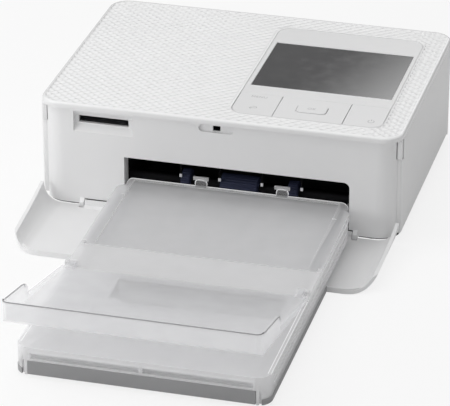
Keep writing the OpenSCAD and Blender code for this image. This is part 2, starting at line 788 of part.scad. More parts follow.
module outer_lid()
    color(frost) translate([0, oy, 0]) {
        difference() {
            intersection() {
                zprism(10, 60) rr(cas_x0 - 0.4, lid_end, cas_x1 + 0.4, -140, 2.9);
                xprism(-60, 80) lid_side(0);
            }
            intersection() {
                zprism(10, 60) rr(cas_x0 + 1, lid_end + 1.4, cas_x1 - 1, -120, 1.5);
                xprism(-60, 80) polygon([[-150, lid_f(-150) + 1.3], [-246, lid_f(-246) + 1.3],
                    [-246, 60], [-150, 60]]);
            }
            for (x = [-31.1, 43.4, 51]) bx(x, lid_end + 0.9, 37.2, x + 0.6, lid_end + 1.5, 46);
        }
        for (m = [0, 1]) translate([m * 2 * cas_c, 0, 0]) mirror([m, 0, 0])
            xprism(-47, -43.6) difference() {
                union() {
                    translate([lid_y, lid_z]) circle(1.25);
                    polygon([[-161, lid_f(-161) + 0.9], [lid_y, lid_z - 1.15],
                        [lid_y, lid_z + 1.2], [-161, 19.9]]);
                }
                translate([lid_y, lid_z]) circle(0.7);
            }
    }

module lid_pins()
    color(steel) translate([0, oy, 0])
        for (m = [0, 1]) translate([m * 2 * cas_c, 0, 0]) mirror([m, 0, 0])
            xrod(cas_x0 + 0.1, -43.7, lid_y, lid_z, 0.7);

module lift_plate()
    color([0.7, 0.7, 0.72]) translate([0, oy, 0]) difference() {
        union() {
            bx(-43.6, -127.6, 8.7, 62, -50, 9.5);
            xrod(-43.6, 62, -127, 8.9, 0.9);
        }
        for (x = [-17.7, 36.3]) bx(x - 8, -66, 8, x + 8, -58, 10);
    }

module paper_stack()
    color([0.96, 0.96, 0.96]) translate([0, oy, 0]) {
        bx(-40.6, -227, 9.9, 59.4, -49.2, 11);
    }

// ---- assembly ----
base_chassis();
front_frame();
inner_frame();
side_panel_left();
rear_panel();
top_cover();
control_panel();
display_glass();
display_module();
key_board();
key_switches();
card_socket();
catch_block();
paper_tunnel();
tunnel_ribs();
guide_tips();
mech_frame();
print_head();
heat_sink();
feed_motor();
platen_motor();
main_board();
board_parts();
dc_inlet();
usb_port();
rubber_feet();
base_screws();
cartridge_shell();
ribbon_film();
supply_spool();
takeup_spool();
feed_shaft();
feed_rubbers();
feed_gear();
feed_pinion();
platen_shaft();
platen_rubber();
platen_gear();
platen_pinion();
eject_lever();
menu_key();
nav_plate();
ok_button();
power_key();
cartridge_door();
front_cover();
cover_pins();
cassette_base();
cassette_strip();
inner_lid();
outer_lid();
lid_pins();
lift_plate();
paper_stack();
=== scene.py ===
# %% [markdown]
# # A compact photo printer, dressed around its CAD frame
#
# The printer is a low white box.  Its front cover lies open on the table, a
# frosted paper cassette stands in its mouth, and a display and soft keys are
# on top.  The CAD frame brings every rigid piece in its exact place.  This
# script adds what a moulder and a printer would: rounded edges, moulded
# relief, printed signs and materials.
#
# Blender's lengths are metres.  Shapes in this script are given in body
# millimetres, measured from the point on the table under the middle of the
# printer's body, and `make_piece` turns them into metres in the frame.

import json
import math

import bmesh
import bpy
import numpy as np
from mathutils import Euler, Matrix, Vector


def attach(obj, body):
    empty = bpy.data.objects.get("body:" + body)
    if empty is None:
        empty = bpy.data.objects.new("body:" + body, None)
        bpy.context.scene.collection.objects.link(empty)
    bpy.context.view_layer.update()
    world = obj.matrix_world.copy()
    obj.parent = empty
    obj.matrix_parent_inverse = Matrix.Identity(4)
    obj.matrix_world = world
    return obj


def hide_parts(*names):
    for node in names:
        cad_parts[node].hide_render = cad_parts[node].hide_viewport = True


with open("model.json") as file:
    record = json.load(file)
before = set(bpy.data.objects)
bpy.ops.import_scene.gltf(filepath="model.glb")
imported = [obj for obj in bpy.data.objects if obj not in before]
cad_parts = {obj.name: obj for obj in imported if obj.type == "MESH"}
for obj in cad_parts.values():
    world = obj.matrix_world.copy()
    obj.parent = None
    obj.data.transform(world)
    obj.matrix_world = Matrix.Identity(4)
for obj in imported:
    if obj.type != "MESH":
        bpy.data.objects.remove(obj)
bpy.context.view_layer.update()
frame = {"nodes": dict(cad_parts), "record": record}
MM = 0.001
BODY_Y = 88.75          # the body's centre lies this far behind the origin, in mm

# %% [markdown]
# ## The camera
#
# A product shot is taken with a long lens from well away, so that parallel
# edges stay nearly parallel.  The camera could be aimed by hand, but a camera
# solved from the printer's own straight edges puts each corner where it
# belongs, so its place and angles are simply written down.

# %% Camera
CAMERA_PLACE = (0.33898, -1.23418, 0.66686)
CAMERA_TILT = 63.3138           # degrees up from straight down
CAMERA_TURN = 14.9027           # degrees about the vertical
CAMERA_ROLL = 0.0213            # degrees, almost level
LENS_MM = 238.0                 # on a sensor 36 mm wide

camera = bpy.data.objects.new("camera", bpy.data.cameras.new("camera"))
camera.data.sensor_width = 36
camera.data.lens = LENS_MM
camera.data.clip_start, camera.data.clip_end = 0.05, 50
camera.location = CAMERA_PLACE
camera.rotation_euler = Euler([math.radians(a)
                               for a in (CAMERA_TILT, CAMERA_ROLL, CAMERA_TURN)])
bpy.context.scene.collection.objects.link(camera)
bpy.context.scene.camera = camera
bpy.context.scene.view_settings.view_transform = "Standard"
print("camera stands", round(Vector(CAMERA_PLACE).length, 2), "m from the origin")

# %% [markdown]
# ## Node materials, one helper at a time
#
# A material is a small graph.  Writing each link by hand is long, so a
# `Paint` object keeps the graph and offers the few nodes that plastics need:
# coordinates, noise, arithmetic, a colour ramp and a bump.  Constants go
# straight on the shader's sockets.

# %% A small node builder
class Paint:
    """One Principled material and short calls that add nodes to its graph."""

    def __init__(self, name, color, rough, **sockets):
        self.mat = bpy.data.materials.new(name)
        self.mat.use_nodes = True
        self.tree = self.mat.node_tree
        self.shader = self.tree.nodes["Principled BSDF"]
        self.place = self.node("ShaderNodeTexCoord").outputs["Object"]
        self.set(self.shader.inputs["Base Color"], (*color, 1))
        self.set(self.shader.inputs["Roughness"], rough)
        for key, value in sockets.items():
            self.set(self.shader.inputs[key.replace("_", " ")], value)

    def node(self, kind, **settings):
        n = self.tree.nodes.new(kind)
        for key, value in settings.items():
            setattr(n, key, value)
        return n

    def set(self, socket, value):
        """Link a socket to the input, or write the constant there."""
        if isinstance(value, bpy.types.NodeSocket):
            self.tree.links.new(value, socket)
        else:
            socket.default_value = value

    def math(self, operation, *values, clamp=False):
        n = self.node("ShaderNodeMath", operation=operation, use_clamp=clamp)
        for socket, value in zip(n.inputs, values):
            self.set(socket, value)
        return n.outputs[0]

    def split(self, vector=None):
        n = self.node("ShaderNodeSeparateXYZ")
        self.set(n.inputs[0], vector or self.place)
        return n.outputs

    def stretched(self, sx, sy, sz):
        n = self.node("ShaderNodeMapping")
        self.set(n.inputs["Vector"], self.place)
        n.inputs["Scale"].default_value = (sx, sy, sz)
        return n.outputs[0]

    def noise(self, size_mm, detail=2.0, vector=None, rough=0.5):
        """Cloudy noise whose lumps are about size_mm wide."""
        n = self.node("ShaderNodeTexNoise")
        self.set(n.inputs["Vector"], vector or self.place)
        n.inputs["Scale"].default_value = 1 / (size_mm * MM)
        n.inputs["Detail"].default_value = detail
        n.inputs["Roughness"].default_value = rough
        return n.outputs["Fac"]

    def band(self, value, low, high, out_low=0.0, out_high=1.0):
        """A straight ramp from out_low at low to out_high at high."""
        n = self.node("ShaderNodeMapRange")
        for socket, v in zip(n.inputs, (value, low, high, out_low, out_high)):
            self.set(socket, v)
        return n.outputs[0]

    def mix(self, factor, a, b):
        n = self.node("ShaderNodeMix", data_type="RGBA")
        self.set(n.inputs["Factor"], factor)
        for socket, c in ((n.inputs[6], a), (n.inputs[7], b)):
            self.set(socket, c if isinstance(c, bpy.types.NodeSocket) else (*c, 1))
        return n.outputs[2]

    def color(self, value):
        self.set(self.shader.inputs["Base Color"], value)

    def rough(self, value):
        self.set(self.shader.inputs["Roughness"], value)

    def bump(self, height, depth_mm, normal=None):
        """Tilt the normals as if the surface rose by height times depth_mm."""
        n = self.node("ShaderNodeBump")
        n.inputs["Strength"].default_value = 1.0
        n.inputs["Distance"].default_value = depth_mm * MM
        self.set(n.inputs["Height"], height)
        if normal is not None:
            self.set(n.inputs["Normal"], normal)
        self.set(self.shader.inputs["Normal"], n.outputs[0])
        return n.outputs[0]


def shade(tone, tint=(1, 1, 1)):
    """A grey of that strength, times a tint."""
    return tuple(tone * t for t in tint)

# %% [markdown]
# ## Moulded plastic
#
# The shell is injection-moulded, and the mould is spark-eroded to a fine
# matt grain.  A flat colour would look like paper, so the grain is a noise
# of a third of a millimetre, the colour drifts by a few percent over some
# centimetres, and the gloss varies a little, as uneven cooling leaves it.
#
# The bottom tray needs two tones: white outside and black in the bay behind
# the slot.  The flange under its front wall is black too, as painted shadow
# where the front cover meets the body.  Comparing object coordinates with a few
# limits gives a mask of 0 or 1 without cutting the piece.  The paper guides get
# theirs by height.

# %% Moulded plastics
def moulded(name, color, rough, grain_mm=0.35, grain_depth=0.006, drift=0.03, **sockets):
    """Plastic with spark grain, slow colour drift and uneven gloss."""
    p = Paint(name, color, rough, **sockets)
    slow = p.noise(38, 3)
    p.color(p.mix(slow, shade(1 - drift, color), shade(1 + drift, color)))
    p.rough(p.band(p.noise(7, 4), 0.3, 0.7, rough - 0.04, rough + 0.05))
    p.bump(p.noise(grain_mm, 2), grain_depth)
    return p


SHELL = (0.80, 0.80, 0.803)
white_shell = moulded("white_shell", SHELL, 0.42)
white_panel = moulded("white_panel", (0.73, 0.73, 0.733), 0.33, grain_mm=0.2, grain_depth=0.002)
white_top = moulded("white_top", SHELL, 0.22, grain_mm=0.25, grain_depth=0.001,
                    Specular_IOR_Level=0.7)
black_mould = moulded("black_mould", (0.010, 0.010, 0.011), 0.7, Specular_IOR_Level=0.04)
black_rubber = moulded("black_rubber", (0.016, 0.016, 0.017), 0.8, grain_mm=0.6,
                       grain_depth=0.02, Specular_IOR_Level=0.2)
navy_rubber = moulded("navy_rubber", (0.016, 0.020, 0.046), 0.62, grain_mm=0.5,
                      grain_depth=0.02, Specular_IOR_Level=0.25)
chassis = moulded("chassis", SHELL, 0.4)
BAY_FLOOR, BAY_HALF_X, BAY_HALF_Y = 0.003, 0.084, 0.05      # the bay, in metres
FLANGE_TOP, FLANGE_Y = 0.0021, (BODY_Y - 56) * MM           # under the front wall
x, y, z = chassis.split()
inside = chassis.math("MULTIPLY", chassis.math("GREATER_THAN", z, BAY_FLOOR),
                      chassis.math("LESS_THAN", chassis.math("ABSOLUTE", x), BAY_HALF_X))
from_middle = chassis.math("ABSOLUTE", chassis.math("SUBTRACT", y, BODY_Y * MM))
inside = chassis.math("MULTIPLY", inside, chassis.math("LESS_THAN", from_middle, BAY_HALF_Y))
# The flange under the front wall is painted black: painted shadow in the seam where the front cover
# meets the body.
flange_shadow = chassis.math("MULTIPLY", chassis.math("GREATER_THAN", z, FLANGE_TOP),
                            chassis.math("LESS_THAN", y, FLANGE_Y))
inside = chassis.math("MAXIMUM", inside, flange_shadow)
# Black in the bay behind the slot; on the flange the same black is painted shadow.
chassis.color(chassis.mix(inside, SHELL, (0.03, 0.03, 0.031)))
grey_mould = moulded("grey_mould", (0.30, 0.30, 0.305), 0.45)
pale_mould = moulded("pale_mould", (0.60, 0.61, 0.63), 0.35)
guide = moulded("guide", (0.6, 0.6, 0.62), 0.4)
GUIDE_DARK_ABOVE = 0.02355                                  # metres
upper = guide.math("GREATER_THAN", guide.split()[2], GUIDE_DARK_ABOVE)
guide.color(guide.mix(upper, (0.62, 0.62, 0.64), (0.005, 0.005, 0.005)))
guide.set(guide.shader.inputs["Specular IOR Level"],
          guide.math("MULTIPLY_ADD", upper, -0.48, 0.5))
print("plastics:", [m.name for m in bpy.data.materials][-8:])

# %% [markdown]
# ## Frosted, see-through plastic
#
# The cassette is clear plastic with a matt skin.  Glass with a rough surface
# would do it in principle, but a rough pane hides everything and needs many
# light bounces.  Real frosting does two things at once: part of the light is
# scattered back by the skin, and part goes straight on.  So a whitish
# transmissive plastic is mixed with a plain see-through share.

# %% Frosted plastic
def frosted(name, color, rough, through, clear, thin_between=None, painted_shade_above=None):
    """(1 - clear) * ((1 - through) * white skin + through * glow) + clear * straight light.

    `thin_between` names two heights with a clearer band between them, and above
    the height given last the skin is painted a little greyer: painted shade.
    """
    p = Paint(name, color, rough, Specular_IOR_Level=0.4)
    slow = p.noise(30, 3)
    tone = p.mix(slow, shade(0.975, color), color)
    # Above that height the skin is painted greyer: painted shade.
    if painted_shade_above:
        tone = p.mix(p.math("GREATER_THAN", p.split()[2], painted_shade_above), tone, shade(0.86, color))
    p.color(tone)
    p.rough(p.band(p.noise(5, 3), 0.3, 0.7, rough - 0.05, rough + 0.05))
    p.bump(p.noise(0.3, 2), 0.003)
    glow = p.node("ShaderNodeBsdfTranslucent")
    glow.inputs["Color"].default_value = (*color, 1)
    straight = p.node("ShaderNodeBsdfTransparent")
    straight.inputs["Color"].default_value = (0.985, 0.985, 0.99, 1)
    skin, sheet = p.node("ShaderNodeMixShader"), p.node("ShaderNodeMixShader")
    skin.inputs["Fac"].default_value = through
    share = p.band(p.noise(24, 2), 0.2, 0.8, clear - 0.04, clear + 0.04)
    if thin_between:
        low, high = thin_between
        band = p.math("MULTIPLY", p.math("GREATER_THAN", p.split()[2], low),
                      p.math("LESS_THAN", p.split()[2], high))
        share = p.math("MAXIMUM", share, p.math("MULTIPLY", band, 0.8))
    p.set(sheet.inputs["Fac"], share)
    link = p.tree.links.new
    link(p.shader.outputs[0], skin.inputs[1])
    link(glow.outputs[0], skin.inputs[2])
    link(skin.outputs[0], sheet.inputs[1])
    link(straight.outputs[0], sheet.inputs[2])
    link(sheet.outputs[0], p.tree.nodes["Material Output"].inputs["Surface"])
    return p


# The base is painted greyer above 16.5 mm: painted shade on its highest parts.
frost_base = frosted("frost_base", (0.94, 0.94, 0.945), 0.4, 0.3, 0.28, painted_shade_above=0.0165)
frost_lid = frosted("frost_lid", (0.94, 0.94, 0.945), 0.35, 0.5, 0.64)
# The sheet lid's frosting is a darker copy of the same plastic: its lower tone is painted shade for
# the shade it lies in inside the printer.
shaded_frost_flap = frosted("shaded_frost_flap", (0.81, 0.81, 0.815), 0.35, 0.45, 0.46,
                     thin_between=(0.0191, 0.0222))
print("frosted:", frost_base.mat.name, frost_lid.mat.name, shaded_frost_flap.mat.name)

# %% [markdown]
# Where a frosted sheet ends its edge is cut or polished, so it shows as a
# bright line, or as a dark one where it bends light away.  Here the bright
# edge is polished plastic with a faint painted glow, and the dark edge is a
# dark grey of painted shade.  These two finishes are plain plastics, since
# they only cover thin bands.  The pane over the cassette's window is plain
# too: it is a dark grey sheet of painted shade, so dim that nothing behind it
# needs to be seen.

# %% Edges of the frosted parts, with a painted glow and painted shade, and the pane
# Polished edge plastic; its faint emission is a painted glow, standing in for light leaving the
# sheet's edge.
polished_edge_glow = moulded("polished_edge_glow", (0.95, 0.95, 0.955), 0.16, grain_depth=0.001,
                      Specular_IOR_Level=0.8, Emission_Strength=0.15)
# A dark grey sheet of painted shade, for the shade inside the cassette under its window.
shade_pane_finish = moulded("painted_shade_pane", (0.42, 0.42, 0.424), 0.3, grain_mm=0.6)
# A dark grey of painted shade, standing in for the light a sheet's edge bends away.
painted_shade_edge = moulded("painted_shade_edge", (0.16, 0.16, 0.165), 0.2, grain_depth=0.001)

# %% [markdown]
# ## Metals, circuit board, ribbon film and paper
#
# These sit inside and show at the slot and at the open side door.
# Pressed steel keeps fine rolling lines along one direction, so its noise is
# stretched.  The dye ribbon changes colour from field to field, and a stack of
# sheets shows its edges as thin lines.  PINGPONG makes such stripes: it counts
# up to its limit and down again, over and over.

# %% Metals, board, film, paper
def metal(name, color, rough, stretch=(0.02, 1, 1)):
    """Bare metal with fine lines along one axis and a slow change of tone."""
    p = Paint(name, color, rough, Metallic=1.0)
    lines = p.noise(0.4, 3, p.stretched(*stretch))
    p.rough(p.band(lines, 0.3, 0.7, rough - 0.08, rough + 0.1))
    p.color(p.mix(p.noise(12, 2), shade(0.92, color), color))
    p.bump(lines, 0.002)
    return p


steel = metal("steel", (0.56, 0.56, 0.58), 0.34)
sink_metal = metal("sink_metal", (0.70, 0.71, 0.72), 0.38, (1, 0.05, 1))
dark_steel = metal("dark_steel", (0.05, 0.05, 0.055), 0.45)

board_green = moulded("board_green", (0.015, 0.075, 0.035), 0.35, grain_mm=0.8)
TRACK_PITCH, TRACK_EDGE = 0.0012, 0.0009                    # metres
x, y, z = board_green.split()
tracks = board_green.math("PINGPONG", board_green.math("ADD", x, y), TRACK_PITCH)
board_green.color(board_green.mix(board_green.math("GREATER_THAN", tracks, TRACK_EDGE),
                                  (0.015, 0.075, 0.035), (0.05, 0.16, 0.07)))

film = moulded("film", (0.16, 0.04, 0.09), 0.15, grain_depth=0.001)
FIELD_START, FIELD_LENGTH = 0.02, 0.03                      # metres
x, y, z = film.split()
fields = film.math("PINGPONG", film.math("ADD", y, FIELD_START), FIELD_LENGTH)
film.color(film.mix(film.band(fields, 0.0148, 0.0152), (0.30, 0.22, 0.02), (0.22, 0.02, 0.09)))

paper = moulded("paper", (0.80, 0.80, 0.80), 0.55, grain_mm=0.15, grain_depth=0.004)
SHEET_THICK, EDGE_RISE = 0.00022, 60.0                      # metres, then mm per metre
sheet_edges = paper.math("PINGPONG", paper.split()[2], SHEET_THICK)
paper.bump(sheet_edges, EDGE_RISE)

# %% [markdown]
# ## Display glass and printed signs
#
# The display is a dark panel behind a flat polished window.  Its grey gradient
# is nothing but the studio mirrored in it, so the glass needs a near-black
# base, a very low roughness and a clear coat, and the light does the rest.

# %% Glass and ink
glass = moulded("glass", (0.012, 0.012, 0.014), 0.07, grain_mm=3, grain_depth=0.0,
                drift=0.03, Coat_Weight=0.6, Coat_Roughness=0.03)
ink = moulded("ink", (0.42, 0.42, 0.43), 0.5, grain_mm=0.2)
print("finishes:", len(bpy.data.materials))

# %% [markdown]
# ## Dressing the CAD nodes
#
# The record names a material slot for each node, so one table from slot to
# finish dresses nearly all of them.  A short second table holds the nodes that
# need a finish of their own.

# %% Dress every CAD node
FINISH = {
    "white_shell": white_shell, "white_panel": white_panel, "dark_glass": glass,
    "metal": steel, "heat_metal": sink_metal, "black_plastic": black_mould,
    "grey_plastic": grey_mould, "pale_plastic": pale_mould, "board_green": board_green,
    "navy_rubber": navy_rubber, "black_rubber": black_rubber, "frosted_clear": frost_base,
    "film": film, "paper": paper,
}
SPECIAL = {
    "inner_lid": shaded_frost_flap, "outer_lid": frost_lid, "lid_pins": frost_base,
    "guide_tips": guide, "base_chassis": chassis, "top_cover": white_top,
    "feed_shaft": black_mould, "mech_frame": black_mould,
}
slot_of = {s["node"]: s["material_slot"] for s in frame["record"]["subparts"]}


def finish_of(node):
    """The finish of a CAD node: its own if it has one, else that of its record slot."""
    return SPECIAL.get(node) or FINISH[slot_of[node]]


for name, obj in frame["nodes"].items():
    obj.data.materials.clear()
    obj.data.materials.append(finish_of(name).mat)
print("dressed:", len(frame["nodes"]), "nodes")

# %% [markdown]
# ## Rounded edges
#
# No moulded edge is a knife: each one is rounded by two or three tenths of a
# millimetre, and that thin line catches the light.  Modelling each fillet by
# hand would take days.  A copy of the CAD node is welded, its flat triangles
# are joined into whole faces, and Bevel rounds every edge that turns by more
# than 32 degrees.  The copy then stands for the node.  Its normals are weighted
# by face size, so that large faces stay flat beside their rounded edges.  The
# frosted parts are left out of that: light goes through them, and a bent
# normal there would show as a crack.

# %% Soft-edged copies of moulded nodes
BODY_OF = {n: b for b, group in frame["record"]["behaviour"]["bodies"].items() for n in group}
BEVEL_STEPS = 2


def softened(node, round_mm, turn=32):
    """Weld, join coplanar triangles, then round each edge sharper than `turn` degrees."""
    bm = bmesh.new()
    bm.from_mesh(frame["nodes"][node].data)
    bmesh.ops.remove_doubles(bm, verts=bm.verts, dist=2e-6)
    bmesh.ops.dissolve_degenerate(bm, edges=bm.edges, dist=1e-6)
    bmesh.ops.dissolve_limit(bm, verts=bm.verts, edges=bm.edges, angle_limit=math.radians(0.6))
    bmesh.ops.recalc_face_normals(bm, faces=bm.faces)
    mesh = bpy.data.meshes.new(node + "_moulded")
    bm.to_mesh(mesh)
    bm.free()
    mesh.shade_smooth()
    mesh.set_sharp_from_angle(angle=math.radians(turn))
    mesh.materials.append(finish_of(node).mat)
    obj = bpy.data.objects.new(mesh.name, mesh)
    bpy.context.scene.collection.objects.link(obj)
    bevel = obj.modifiers.new("rounding", "BEVEL")
    bevel.width = round_mm * MM
    bevel.segments = BEVEL_STEPS
    bevel.limit_method = "ANGLE"
    bevel.angle_limit = math.radians(turn)
    bevel.use_clamp_overlap = True
    bevel.harden_normals = False
    # Frosted parts get the polished edge finish, with its painted glow, on their rounded edges; the
    # raised lid keeps its own frosting there.
    if slot_of[node] == "frosted_clear":
        mesh.materials.append((frost_lid if node == "outer_lid" else polished_edge_glow).mat)
        bevel.material = 1
    else:
        flat = obj.modifiers.new("flat_faces", "WEIGHTED_NORMAL")
        flat.keep_sharp = True
    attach(obj, BODY_OF[node])
    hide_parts(node)
    return obj


# millimetres of rounding for each node
SOFT_EDGES = {
    "front_frame": 0.3, "side_panel_left": 0.3, "cartridge_door": 0.3, "rear_panel": 0.3,
    "front_cover": 0.45, "control_panel": 0.16, "menu_key": 0.16, "nav_plate": 0.16,
    "power_key": 0.16, "ok_button": 0.22, "cassette_base": 0.2, "inner_lid": 0.3,
    "outer_lid": 0.38, "cassette_strip": 0.2, "eject_lever": 0.3, "cartridge_shell": 0.4,
}
moulded_pieces = {n: softened(n, r) for n, r in SOFT_EDGES.items()}
for n, o in moulded_pieces.items():
    print(n, len(o.data.polygons), "faces before rounding")

# %% [markdown]
# ## Surfaces from arrays
#
# Everything else is a surface of two parameters.  A ring is a closed outline
# at one height, and a stack of rings joined by quads is a skin.  Working on
# whole numpy arrays keeps it short: the grid of corner numbers is made once
# and rolled by one to find each neighbour.

# %% Rings, skins and lathes
def rounded_path(x0, y0, x1, y1, r, n=9):
    """Rounded rectangle: each corner's centre plus r times (cos, sin) over a quarter turn."""
    t = np.linspace(0, np.pi / 2, n)
    corners = ((x1 - r, y1 - r, 0), (x0 + r, y1 - r, 1), (x0 + r, y0 + r, 2), (x1 - r, y0 + r, 3))
    return np.vstack([np.c_[cx + r * np.cos(t + k * np.pi / 2), cy + r * np.sin(t + k * np.pi / 2)]
                      for cx, cy, k in corners])


def at_height(path, z):
    """Lift a flat outline to height z, in body millimetres."""
    return np.c_[path, np.full(len(path), float(z))]


def grid_quads(nu, nv, loop_u=True, loop_v=False):
    """Quads of an nu by nv grid of corners, closed round u and, if asked, v."""
    number = np.arange(nu * nv).reshape(nv, nu)
    if loop_u:
        number = np.hstack([number, number[:, :1]])
    if loop_v:
        number = np.vstack([number, number[:1]])
    return np.stack([number[:-1, :-1], number[:-1, 1:], number[1:, 1:], number[1:, :-1]],
                    axis=-1).reshape(-1, 4)


def arc(cx, cy, r, start, stop, n=7):
    """Points c + r (cos a, sin a), with a running from one angle in degrees to another."""
    a = np.radians(np.linspace(start, stop, n))
    return np.c_[cx + r * np.cos(a), cy + r * np.sin(a)]


def make_piece(name, points_mm, faces, body, finish, smooth=40):
    """A mesh from body-frame millimetres, moved to the row frame, riding on a body."""
    mesh = bpy.data.meshes.new(name)
    points = (np.asarray(points_mm, float) + (0, BODY_Y, 0)) * MM
    mesh.from_pydata(points.tolist(), [], [list(map(int, f)) for f in faces])
    mesh.shade_smooth()
    mesh.set_sharp_from_angle(angle=math.radians(smooth))
    mesh.materials.append(finish.mat)
    obj = bpy.data.objects.new(name, mesh)
    bpy.context.scene.collection.objects.link(obj)
    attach(obj, body)
    return obj


def outward(obj):
    """Weld a closed mesh and turn all its faces outwards."""
    bm = bmesh.new()
    bm.from_mesh(obj.data)
    bmesh.ops.remove_doubles(bm, verts=bm.verts, dist=1e-6)
    bmesh.ops.recalc_face_normals(bm, faces=bm.faces)
    bm.to_mesh(obj.data)
    bm.free()
    return obj


def ring_skin(name, rings, body, finish, torus=False, smooth=40):
    """Join a stack of rings by quads; ends are capped, or the last ring meets the first."""
    nu = len(rings[0])
    faces = [list(f) for f in grid_quads(nu, len(rings), True, torus)]
    if not torus:
        faces += [list(range(nu))[::-1], list(range(nu * (len(rings) - 1), nu * len(rings)))]
    return outward(make_piece(name, np.vstack(rings), faces, body, finish, smooth))


def lathe_x(name, profile, centre, body, finish, n=64, waves=0, depth=0.0):
    """Turn (x, radius) points about an X axis; `waves` ribs of `depth` run along it."""
    profile = np.asarray(profile, float)
    a = np.linspace(0, 2 * np.pi, n, endpoint=False)
    ribs = 1 - depth * (0.5 - 0.5 * np.cos(waves * a)) if waves else np.ones(n)
    rings = [np.c_[np.full(n, x), centre[0] + r * ribs * np.cos(a), centre[1] + r * ribs * np.sin(a)]
             for x, r in profile]
    return ring_skin(name, rings, body, finish, smooth=50)

# %% [markdown]
# ## The top shell and its moulded relief
#
# The top is one plate with a rolled rim, and its field carries a fine relief.
# Low ridges run along two diagonals and the skin dips between them.  Their
# crossings are 5.2 mm apart from side to side and 4.3 mm from front to back.
# A weaker third wave runs from side to side and deepens the skin between the
# columns of crossings.  Beside the panel the relief gets shallower.
#
# A bump map would show it in a picture only, so here it is real: a grid whose
# spacing divides the pattern, so that corners lie on the ridges.  Corners that
# fall outside the field are pulled to its edge, which trims the grid cleanly.
# The field is made in two parts, joined beside the panel.

# %% Top shell: rim, pocket and panel opening
TOP = (-91.1, -66.5, 91.1, 66.5)
PAN = (3.05, -55.4, 79.0, 51.8)
TOP_Z, DECK_Z, RIM_R, CORNER_R, PAN_R = 57.6, 54.85, 1.4, 10.0, 7.0
RIM_WIDTH, PANEL_LIP = 1.75, 0.9        # flat borders round the field and the panel
SKIN_DROP = 1.0                         # depth of the pocket under the field


def top_ring(inset, z):
    """The plate's outline, moved inwards by inset, at height z."""
    x0, y0, x1, y1 = TOP
    return at_height(rounded_path(x0 + inset, y0 + inset, x1 - inset, y1 - inset,
                                  CORNER_R - inset), z)


def pan_ring(outset, z):
    """The panel's outline, moved outwards by outset, at height z."""
    x0, y0, x1, y1 = PAN
    return at_height(rounded_path(x0 - outset, y0 - outset, x1 + outset, y1 + outset,
                                  PAN_R + outset), z)


roll = np.linspace(0, np.pi / 2, 7)
top_rings = [top_ring(0.0, DECK_Z)]
top_rings += [top_ring(RIM_R - RIM_R * math.cos(a), TOP_Z - RIM_R + RIM_R * math.sin(a))
              for a in roll]
top_rings += [top_ring(RIM_WIDTH, TOP_Z), top_ring(RIM_WIDTH, TOP_Z - SKIN_DROP),
              pan_ring(PANEL_LIP, TOP_Z - SKIN_DROP), pan_ring(PANEL_LIP, TOP_Z),
              pan_ring(0.2, TOP_Z), pan_ring(0.06, TOP_Z - 0.06), pan_ring(0.0, TOP_Z - 0.2),
              pan_ring(0.0, DECK_Z)]
top_shell = ring_skin("top_shell", top_rings, "printer", white_top, torus=True)
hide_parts("top_cover")
print("top shell:", len(top_shell.data.polygons), "faces")

# %% Top shell: the quilted skin
QUILT_X, QUILT_Y, QUILT_DEPTH = 5.18, 4.31, 0.95
ROW_SHARE = 0.15                # of the depth, given to the third wave
CALM, CALM_REACH = 0.55, 22.0   # share taken off beside the panel, and how far out
CALM_END = 10.0                 # at the panel's right side the calm ends within this
HALF_COLUMNS, HALF_ROWS = 18, 16
FINE = 10                       # grid steps per repeat of the pattern
JOIN_COLUMN = 5                 # grid columns right of the middle where the parts join
FIELD_INSET, FIELD_GAP = 1.5, 0.7   # the field's edge, from the plate's and the panel's
FADE, SINK = 0.8, 0.02          # the relief starts within FADE of its edge, SINK below


def inside_rounded(x, y, x0, y0, x1, y1, r):
    """Distance inside a rounded rectangle, and the outward direction to its edge."""
    cx, cy = (x0 + x1) / 2, (y0 + y1) / 2
    qx = np.abs(x - cx) - ((x1 - x0) / 2 - r)
    qy = np.abs(y - cy) - ((y1 - y0) / 2 - r)
    ox, oy = np.maximum(qx, 0), np.maximum(qy, 0)
    length = np.hypot(ox, oy)
    corner = length > 1e-9
    dist = np.where(corner, length, np.maximum(qx, qy)) - r
    nx = np.where(corner, ox / np.maximum(length, 1e-9), (qx > qy) * 1.0) * np.sign(x - cx)
    ny = np.where(corner, oy / np.maximum(length, 1e-9), (qx <= qy) * 1.0) * np.sign(y - cy)
    return -dist, nx, ny


def quilt(x, y):
    """0.85 |sin(pi p) sin(pi q)| + 0.15 (1 - cos 2 pi (p + q)) / 2: 0 where ridges cross."""
    p, q = x / QUILT_X + y / QUILT_Y, x / QUILT_X - y / QUILT_Y
    ridges = np.abs(np.sin(np.pi * p) * np.sin(np.pi * q))
    rows = (1 - np.cos(2 * np.pi * (p + q))) / 2
    return (1 - ROW_SHARE) * ridges + ROW_SHARE * rows


def calm_share(x, y):
    """0.55 e^(-d / 22 mm) left of, before and behind the panel; none to the right of it."""
    px0, py0, px1, py1 = PAN
    d = np.hypot(np.maximum(px0 - x, 0), np.maximum(np.maximum(py0 - y, y - py1), 0))
    return CALM * np.exp(-d / CALM_REACH) * np.clip((px1 - x) / CALM_END, 0, 1)


